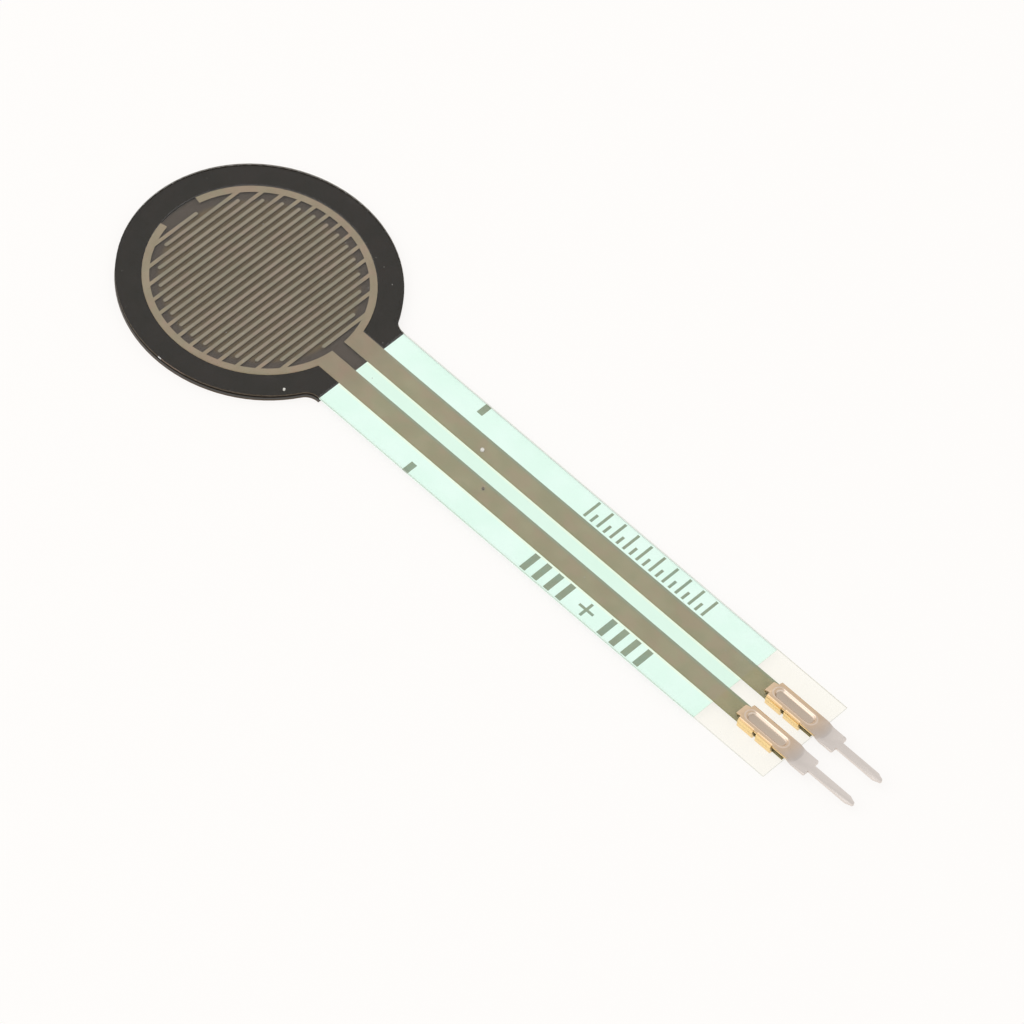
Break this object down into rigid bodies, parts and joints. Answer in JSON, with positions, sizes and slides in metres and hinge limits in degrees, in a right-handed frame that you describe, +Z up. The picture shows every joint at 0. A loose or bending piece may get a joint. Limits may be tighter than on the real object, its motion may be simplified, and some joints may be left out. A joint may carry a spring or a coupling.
{
  "type": "force sensing resistor",
  "caption": "Thin round force sensing resistor: interdigitated silver combs over a carbon film on a black head, a long flat mint tail and two crimped pins.",
  "frame": {"origin": "centre of the round head, on the underside of the release liner", "axes": "+X along the tail towards the pins, +Z up out of the sensing face, +Y across the tail"},
  "size_m": [0.0615, 0.0182, 0.0009],
  "materials": {
    "liner_paper": "matt tan release paper",
    "adhesive": "cloudy transfer adhesive",
    "carbon_film": "smooth dark polyester film",
    "carbon_ink": "matt dark grey resistive ink",
    "spacer_black": "black double-sided adhesive seen through clear film",
    "silver_print": "matt silver ink, warm grey",
    "mark_print": "silver ink under a mint tint",
    "mint_print": "pale mint dielectric print",
    "clear_film": "clear glossy polyester film",
    "contact_metal": "bright stamped metal, gold at the crimp and tin grey at the pin"
  },
  "bodies": {
    "root": {"release_liner": "liner_paper", "rear_adhesive": "adhesive", "carbon_film": "carbon_film", "carbon_ink": "carbon_ink", "spacer": "spacer_black", "upper_comb": "silver_print", "lower_comb": "silver_print", "edge_ticks": "mark_print", "bar_marks": "mark_print", "scale_marks": "mark_print", "cross_mark": "mark_print", "mint_cover": "mint_print", "electrode_film": "clear_film", "upper_contact": "contact_metal", "lower_contact": "contact_metal"}
  },
  "joints": []
}
